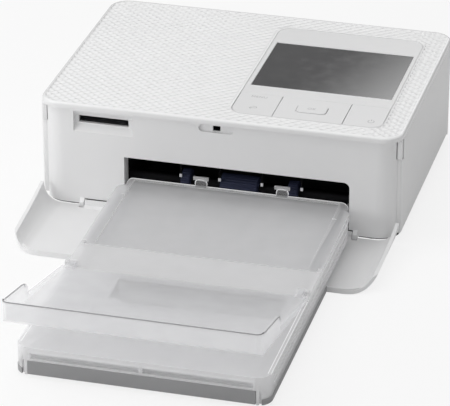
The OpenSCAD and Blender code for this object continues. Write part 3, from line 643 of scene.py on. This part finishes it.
def quilted_grid():
    """Grid over the top; corners outside the field are pulled to its edge."""
    gx = np.arange(-HALF_COLUMNS * FINE, HALF_COLUMNS * FINE + 1) * QUILT_X / FINE
    gy = np.arange(-HALF_ROWS * FINE, HALF_ROWS * FINE + 1) * QUILT_Y / FINE
    x, y = np.meshgrid(gx, gy)
    x0, y0, x1, y1 = TOP
    d_out, nx, ny = inside_rounded(x, y, x0 + FIELD_INSET, y0 + FIELD_INSET, x1 - FIELD_INSET,
                                   y1 - FIELD_INSET, CORNER_R - FIELD_INSET)
    pull = np.minimum(d_out, 0)
    fx, fy = x + nx * pull, y + ny * pull
    x0, y0, x1, y1 = PAN
    d_pan, mx, my = inside_rounded(fx, fy, x0 - FIELD_GAP, y0 - FIELD_GAP, x1 + FIELD_GAP,
                                   y1 + FIELD_GAP, PAN_R + FIELD_GAP)
    push = np.maximum(d_pan, 0)
    fx, fy = fx + mx * push, fy + my * push
    edge = np.minimum(np.maximum(d_out, 0), np.maximum(-d_pan, 0))
    depth = QUILT_DEPTH * (1 - calm_share(x, y)) * np.clip(edge / FADE, 0, 1)
    z = TOP_Z - SINK - depth * quilt(x, y)
    quads = grid_quads(len(gx), len(gy), False)
    quads = quads[((d_out > 0) & (d_pan < 0)).ravel()[quads].any(axis=1)]
    return np.c_[fx.ravel(), fy.ravel(), z.ravel()], quads, len(gx)


def closed_field(name, points, quads):
    """A part of the relief as a body: its rim goes straight down to one flat underside."""
    used, quads = np.unique(quads, return_inverse=True)
    obj = make_piece(name, points[used], quads.reshape(-1, 4), "printer", white_top,
                     60)
    bm = bmesh.new()
    bm.from_mesh(obj.data)
    bmesh.ops.remove_doubles(bm, verts=bm.verts, dist=1e-6)
    bmesh.ops.dissolve_degenerate(bm, edges=bm.edges, dist=1e-7)
    rim = [e for e in bm.edges if e.is_boundary]
    made = bmesh.ops.extrude_edge_only(bm, edges=rim)["geom"]
    for v in made:
        if isinstance(v, bmesh.types.BMVert):
            v.co.z = (TOP_Z - SKIN_DROP - 0.1) * MM
    low = [e for e in made if isinstance(e, bmesh.types.BMEdge)]
    bmesh.ops.holes_fill(bm, edges=low, sides=0)
    bmesh.ops.recalc_face_normals(bm, faces=bm.faces)
    bm.to_mesh(obj.data)
    bm.free()
    obj.data.set_sharp_from_angle(angle=math.radians(60))
    return obj


points, quads, columns = quilted_grid()
west = quads[:, 0] % columns < (columns - 1) // 2 + JOIN_COLUMN
skin = closed_field("top_quilted_skin", points, quads[west])
closed_field("top_quilted_rim", points, quads[~west])
print("relief, left part:", len(skin.data.polygons), "faces")

# %% [markdown]
# ## Seals in the seams
#
# The side panels meet the front shell at a narrow seam.  A real shell has a lip
# behind it, so the seam reads as a faint line.  Each panel also has a finger
# gap at its top.  The left one is filled with white.  The right one has a black
# strip of painted shade at the back and a white cheek before it.

# %% Seals
def seal(name, low, high, finish, r=0.12):
    """Upright strip with rounded corners and softened ends between two corners in mm."""
    (x0, y0, z0), (x1, y1, z1) = low, high
    rings = [at_height(rounded_path(x0 + g, y0 + g, x1 - g, y1 - g, r, 4), z)
             for g, z in ((r * 0.6, z0), (0, z0 + r), (0, z1 - r), (r * 0.6, z1))]
    return ring_skin(name, rings, "printer", finish)


seal("seam_seal_left", (-90.35, -59.58, 4.8), (-88.2, -59.22, 44.1), white_shell)
seal("seam_seal_right", (88.2, -59.58, 4.8), (89.9, -59.25, 44.1), white_shell)
seal("finger_gap_fill", (-90.52, -60.15, 44.35), (-88.15, -57.25, 54.7), white_shell)
# A black strip of painted shade at the back of the right finger gap.
seal("finger_gap_shade", (88.15, -57.98, 44.5), (89.2, -57.3, 54.6), black_mould)
seal("finger_gap_cheek", (88.15, -60.15, 44.35), (90.5, -58.05, 54.7), white_shell)

# %% [markdown]
# ## Bright and dark rims of the frosted sheets
#
# Light caught inside a clear sheet leaves it at its edges.  Here that light
# is painted: the rear rim of the sheet lid has a painted glow against the dark
# slot, and so do the cassette's side rims.  The rim of the raised lid is a dark
# grey of painted shade, so that against a white wall it reads as a thin dark
# line.  All these rims are real beads: a round section swept along the rim,
# each ring square to the path.  The path is flat or nearly so, and the normal
# of its best plane, found by a singular value decomposition, keeps the rings
# from twisting.

# %% Rim beads
def bead(name, path, r, body, finish, n=8):
    """Sweep a circle: ring_k = P_k + r (u_k cos a + v_k sin a), with u, v square to the path."""
    path = np.asarray(path, float)
    run = np.gradient(path, axis=0)
    run /= np.linalg.norm(run, axis=1, keepdims=True)
    flat = np.linalg.svd(path - path.mean(0), full_matrices=False)[2][-1]
    side = np.cross(run, flat)
    side /= np.linalg.norm(side, axis=1, keepdims=True)
    up = np.cross(side, run)
    a = np.linspace(0, 2 * np.pi, n, endpoint=False)[:, None]
    rings = [p + r * (np.cos(a) * u + np.sin(a) * v) for p, u, v in zip(path, side, up)]
    return ring_skin(name, rings, body, finish)


REAR_Y, REAR_Z = -62.45, 18.8           # the sheet lid's rear rim
TAB_TOP, TAB_HALF, TAB_R = 20.3, 2.95, 2.55
TAB_X = (-8.8, 32.2)                    # two raised tabs in that rim
rear = [np.array([[-46.6, 15.8]]), arc(-43.3, 15.5, 3.3, 180, 90)]
for x in TAB_X:
    rear += [np.array([[x - TAB_HALF, REAR_Z], [x - TAB_HALF, TAB_TOP]]),
             arc(x - 0.4, TAB_TOP, TAB_R, 180, 130, 4),
             arc(x + 0.4, TAB_TOP, TAB_R, 50, 0, 4),
             np.array([[x + TAB_HALF, TAB_TOP], [x + TAB_HALF, REAR_Z]])]
rear += [arc(61.8, 15.5, 3.3, 90, 0), np.array([[65.1, 15.8]])]
rear = np.vstack(rear)
# The sheet lid's rear rim carries the painted glow.
bead("sheet_lid_rim", np.insert(rear, 1, REAR_Y, axis=1), 0.26, "sheet_lid", polished_edge_glow)

CASSETTE_X = 9.4                        # the cassette's own middle plane
for k, (x, z) in enumerate(((67.7, 15.0), (66.3, 15.05))):
    for number, side_x in ((k + 1, x), (k + 3, 2 * CASSETTE_X - x)):
        run = [(side_x, y, z) for y in np.linspace(-72.0, -226.0, 12)]
        bead(f"cassette_rim_{number}", run, 0.24, "cassette", polished_edge_glow)

LID_LEFT, LID_RIGHT, LID_FRONT, LID_Z = -49.35, 68.15, -245.2, 44.75
LID_R = 2.65
ear = np.array([[-212.4, 35.1], [-213.4, 37.1], [-216.8, 38.35], [-230.0, 41.3], [-242.0, 44.0]])
turn_l = arc(LID_LEFT + LID_R, LID_FRONT + 2.9, LID_R, 180, 270)
turn_r = arc(LID_RIGHT - LID_R, LID_FRONT + 2.9, LID_R, 270, 360)
rim = np.vstack([np.c_[np.full(len(ear), LID_LEFT), ear],
                 np.c_[turn_l, np.full(len(turn_l), LID_Z)],
                 np.c_[turn_r, np.full(len(turn_r), LID_Z)],
                 np.c_[np.full(len(ear), LID_RIGHT), ear[::-1]]])
# The raised lid's rim is painted dark grey: painted shade.
bead("raised_lid_rim", rim, 0.25, "tray_lid", painted_shade_edge)

# %% [markdown]
# ## The pane over the cassette's window
#
# An opening in the cassette's deck lets one see how much paper is left.  A
# thin dark grey pane covers it as painted shade: it stands in for the shade
# inside the cassette.  Its left side leans and its corners are round: each
# corner is replaced by a short curve that leaves both sides smoothly.

# %% Pane of painted shade over the window
def round_corners(corners, r, n=6):
    """Cut each corner by r; the curve between is (1 - t)^2 A + 2 t (1 - t) corner + t^2 B."""
    out = []
    c = [np.array(v, float) for v in corners]
    for k, mid in enumerate(c):
        a, b = c[k - 1] - mid, c[(k + 1) % len(c)] - mid
        a, b = mid + a / np.linalg.norm(a) * r, mid + b / np.linalg.norm(b) * r
        t = np.linspace(0, 1, n)[:, None]
        out.append((1 - t) ** 2 * a + 2 * t * (1 - t) * mid + t ** 2 * b)
    return np.vstack(out)


pane_path = round_corners([(58.2, -158.4), (-22.2, -158.7), (-15.4, -179.4), (58.4, -177.2)], 2.5)
pane_rings = [at_height(pane_path, z) for z in (15.15, 15.45)]
# The pane is painted shade: a dark grey sheet over the window in place of the shade inside the
# cassette.
pane = ring_skin("window_shade_sheet", pane_rings, "cassette", shade_pane_finish)
print("pane:", len(pane.data.polygons), "faces")
soft = pane.modifiers.new("edge", "BEVEL")
soft.width, soft.segments = 0.1 * MM, 2

# %% [markdown]
# ## Feed rollers
#
# Three short rubber tyres on the feed shaft grip the sheet.  Their rubber is
# moulded with fine ribs along the shaft.  A turned profile whose radius is
# waved round the turn gives the ribs, and a small chamfer ends each tyre.

# %% Feed rollers
ROLLER_AXIS = (-55.0, 17.4)
ROLLERS = ((-20.0, -15.4), (-0.1, 18.8), (33.8, 38.9))      # ends along the shaft
TYRE_R, BORE_R, RIBS, RIB_DEPTH = 6.0, 2.0, 26, 0.055
for k, (a, b) in enumerate(ROLLERS):
    profile = [(a, BORE_R), (a, TYRE_R - 0.5), (a + 0.25, TYRE_R - 0.1), (a + 0.5, TYRE_R),
               (b - 0.5, TYRE_R), (b - 0.25, TYRE_R - 0.1), (b, TYRE_R - 0.5), (b, BORE_R)]
    tyre = lathe_x(f"feed_tyre_{k + 1}", profile, ROLLER_AXIS, "feed_roller", navy_rubber,
                   n=RIBS * 6, waves=RIBS, depth=RIB_DEPTH)
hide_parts("feed_rubbers")

# %% [markdown]
# ## Printed signs
#
# The keys carry thin grey signs: a word on the left key, a bent arrow under
# it, two letters on the round-cornered button and a ring with a bar on the
# power key.  Each is a flat outline a few hundredths of a millimetre thick,
# so that it reads as print and still is a piece that rides with its key.

# %% Signs on the keys
INK_Z, INK_Z_OK = 57.402, 57.752        # just above the plates and the raised button
INK_T = 0.02


def place_sign(obj, x, y, z, body, height_mm=None):
    """Turn text or a curve into a mesh, then bake its place and size into the points."""
    bpy.context.view_layer.update()
    mesh = bpy.data.meshes.new_from_object(obj.evaluated_get(
        bpy.context.evaluated_depsgraph_get()))
    name = obj.name
    bpy.data.objects.remove(obj)
    co = np.array([v.co for v in mesh.vertices], float).reshape(-1, 3)
    low, high = co.min(0), co.max(0)
    scale = height_mm / (high[1] - low[1]) if height_mm else 1.0
    co[:, :2] = (co[:, :2] - (low[:2] + high[:2]) / 2) * scale
    co[:, 2] -= low[2]
    co[:, 2] *= INK_T / max(high[2] - low[2], 1e-9)
    co = (co + (x, y + BODY_Y, z)) * MM
    mesh.vertices.foreach_set("co", co.ravel())
    mesh.update()
    mesh.materials.clear()
    mesh.materials.append(ink.mat)
    sign = bpy.data.objects.new(name, mesh)
    bpy.context.scene.collection.objects.link(sign)
    outward(sign)
    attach(sign, body)
    return sign


def word(name, text, x, y, z, height, body):
    """Letters of the built-in font, `height` millimetres tall, centred on x, y."""
    data = bpy.data.curves.new(name + "_text", "FONT")
    data.body = text
    data.size = 1
    data.extrude = 0.5
    data.space_character = 1.12
    obj = bpy.data.objects.new(name, data)
    bpy.context.scene.collection.objects.link(obj)
    return place_sign(obj, x, y, z, body, height)


def stroke(name, lines, width, x, y, z, body):
    """Flat strokes: each poly-line is a thin square tube pressed to ink thickness."""
    data = bpy.data.curves.new(name + "_line", "CURVE")
    data.dimensions = "3D"
    data.bevel_mode = "ROUND"
    data.bevel_depth = width / 2
    data.bevel_resolution = 1
    data.use_fill_caps = True
    for line in lines:
        spline = data.splines.new("POLY")
        spline.points.add(len(line) - 1)
        spline.points.foreach_set("co", np.c_[line, np.zeros(len(line)), np.ones(len(line))]
                                  .astype(np.float32).ravel())
    obj = bpy.data.objects.new(name, data)
    bpy.context.scene.collection.objects.link(obj)
    return place_sign(obj, x, y, z, body)


word("sign_menu", "MENU", 13.5, -34.9, INK_Z, 1.9, "key_left")
hook = np.vstack([[(-1.7, -0.5)], [(0.9, -0.5)], arc(0.9, 0.35, 0.85, -90, 90, 9), [(-0.6, 1.2)]])
arrow = np.array([(-0.8, 0.5), (-1.8, -0.5), (-0.8, -1.5)])
stroke("sign_back", [hook, arrow], 0.3, 13.4, -47.6, INK_Z, "key_left")
word("sign_ok", "OK", 41.8, -42.7, INK_Z_OK, 2.0, "key_ok")
stroke("sign_power", [arc(0, 0, 1.5, 125, 415, 24), np.array([(0, 0.7), (0, 2.2)])], 0.32,
       72.5, -48.4, INK_Z, "key_right")

# %% [markdown]
# ## The studio: three soft boxes and a sky
#
# White on white is shown by light that falls off gently.  One box from high
# up and one from the left give the top its tone and the sides theirs, and a
# small one low at the left lights the front wall.  The sky fills in evenly.
# It asks what kind of ray is looking: the camera sees plain white, surfaces
# get a softer fill, and mirrored rays see a sky that is dark at the horizon
# and bright overhead, which gives smooth plastic its sheen.

# %% Studio
def area_light(name, place, aim, size, power):
    """Square soft box that faces its aim, size in metres, power in watts."""
    data = bpy.data.lights.new(name, "AREA")
    data.shape, data.size, data.size_y, data.energy = "RECTANGLE", size, size, power
    lamp = bpy.data.objects.new(name, data)
    lamp.location = place
    lamp.rotation_euler = (Vector(aim) - Vector(place)).to_track_quat("-Z", "Y").to_euler()
    bpy.context.scene.collection.objects.link(lamp)


area_light("key", (-0.45, -0.36, 0.17), (-0.05, 0.02, 0.04), 0.22, 0.8)
area_light("side", (-0.6, -0.15, 0.8), (0, 0.05, 0), 0.5, 2.15)
area_light("above", (-0.1, 0.1, 1.0), (0, 0.05, 0), 0.5, 1.35)


def add(tree, kind, **values):
    """Add a node; each value goes to the input of that name, with _ for a space."""
    n = tree.nodes.new(kind)
    for key, value in values.items():
        n.inputs[key.replace("_", " ")].default_value = value
    return n


FILL, SEEN = 0.54, 1.0                  # the sky's strength for surfaces and for the camera
world = bpy.data.worlds.new("studio")
bpy.context.scene.world = world
world.use_nodes = True
sky = world.node_tree
rays = add(sky, "ShaderNodeLightPath")
either = add(sky, "ShaderNodeMath")
either.operation = "MAXIMUM"
plain = add(sky, "ShaderNodeMapRange", To_Min=FILL, To_Max=SEEN)
mirrored = add(sky, "ShaderNodeMix")
where = add(sky, "ShaderNodeTexCoord")
parts = add(sky, "ShaderNodeSeparateXYZ")
overhead = add(sky, "ShaderNodeMapRange", From_Min=0.3, From_Max=0.65, To_Min=0.1, To_Max=2.0)
overhead.interpolation_type = "SMOOTHSTEP"
backdrop = sky.nodes["Background"]
backdrop.inputs["Color"].default_value = (1, 1, 1, 1)
for out, into in (
        (rays.outputs["Is Camera Ray"], either.inputs[0]),
        (rays.outputs["Is Transmission Ray"], either.inputs[1]),
        (either.outputs[0], plain.inputs["Value"]),
        (rays.outputs["Is Glossy Ray"], mirrored.inputs["Factor"]),
        (plain.outputs[0], mirrored.inputs["A"]),
        (where.outputs["Generated"], parts.inputs[0]),
        (parts.outputs["Z"], overhead.inputs["Value"]),
        (overhead.outputs[0], mirrored.inputs["B"]),
        (mirrored.outputs[0], backdrop.inputs["Strength"])):
    sky.links.new(out, into)

# %% [markdown]
# ## A card for the display to mirror
#
# A dark window shows whatever is opposite it.  A large glowing card behind the
# printer, brighter towards its upper right, gives the display its slanting
# gradient.  Only mirrored rays may see the card, so it lights nothing.

# %% Card that the display mirrors
def flat_stage(name, corners, material, place=(0, 0, 0)):
    """A single quad of the studio, kept out of the printer's own pieces."""
    mesh = bpy.data.meshes.new(name)
    mesh.from_pydata(corners, [], [(0, 1, 2, 3)])
    mesh.materials.append(material)
    obj = bpy.data.objects.new(name, mesh)
    obj.location = place
    bpy.context.scene.collection.objects.link(obj)
    return obj


SLANT = 1.2                             # the gradient runs along x + 1.2 z
card_mat = bpy.data.materials.new("card")
card_mat.use_nodes = True
tree = card_mat.node_tree
spot = add(tree, "ShaderNodeTexCoord")
parts = add(tree, "ShaderNodeSeparateXYZ")
slope = add(tree, "ShaderNodeMath")
slope.operation = "MULTIPLY_ADD"
slope.inputs[1].default_value = SLANT
ramp = add(tree, "ShaderNodeMapRange", From_Min=0.004, From_Max=0.184, To_Min=0.45, To_Max=2.8)
ramp.interpolation_type = "SMOOTHSTEP"
shine = add(tree, "ShaderNodeEmission")
for out, into in ((spot.outputs["Object"], parts.inputs[0]),
                  (parts.outputs["Z"], slope.inputs[0]),
                  (parts.outputs["X"], slope.inputs[2]),
                  (slope.outputs[0], ramp.inputs["Value"]),
                  (ramp.outputs[0], shine.inputs["Strength"]),
                  (shine.outputs[0], tree.nodes["Material Output"].inputs["Surface"])):
    tree.links.new(out, into)
card = flat_stage("card", [(-0.5, 0, -0.3), (0.5, 0, -0.3), (0.5, 0, 0.3), (-0.5, 0, 0.3)],
                  card_mat, (-0.28, 1.25, 0.62))
card.visible_camera = card.visible_diffuse = card.visible_shadow = False
card.visible_transmission = False
print("card:", card.name)

# %% [markdown]
# ## The floor
#
# The floor is a matt white sheet that takes the printer's soft shadow.  To the
# camera most of it is an even glow, which lifts it to nearly the white of the
# sky, so that the shadow stays faint and the horizon disappears.

# %% Floor
CAMERA_GLOW, HALF = 0.8, 6              # share of glow that the camera sees; metres
floor_mat = bpy.data.materials.new("floor")
floor_mat.use_nodes = True
tree = floor_mat.node_tree
matt = tree.nodes["Principled BSDF"]
matt.inputs["Base Color"].default_value = (0.86, 0.86, 0.86, 1)
matt.inputs["Roughness"].default_value = 0.9
matt.inputs["Specular IOR Level"].default_value = 0.0
glow = add(tree, "ShaderNodeEmission", Strength=1.0)
mixer = add(tree, "ShaderNodeMixShader")
rays = add(tree, "ShaderNodeLightPath")
share = add(tree, "ShaderNodeMath")
share.operation = "MULTIPLY"
share.inputs[1].default_value = CAMERA_GLOW
for out, into in ((rays.outputs["Is Camera Ray"], share.inputs[0]),
                  (share.outputs[0], mixer.inputs["Fac"]),
                  (matt.outputs[0], mixer.inputs[1]),
                  (glow.outputs[0], mixer.inputs[2]),
                  (mixer.outputs[0], tree.nodes["Material Output"].inputs["Surface"])):
    tree.links.new(out, into)
floor = flat_stage("floor", [(-HALF, -HALF, 0), (HALF, -HALF, 0), (HALF, HALF, 0),
                             (-HALF, HALF, 0)], floor_mat)
print("floor:", floor.name, 2 * HALF, "m wide")
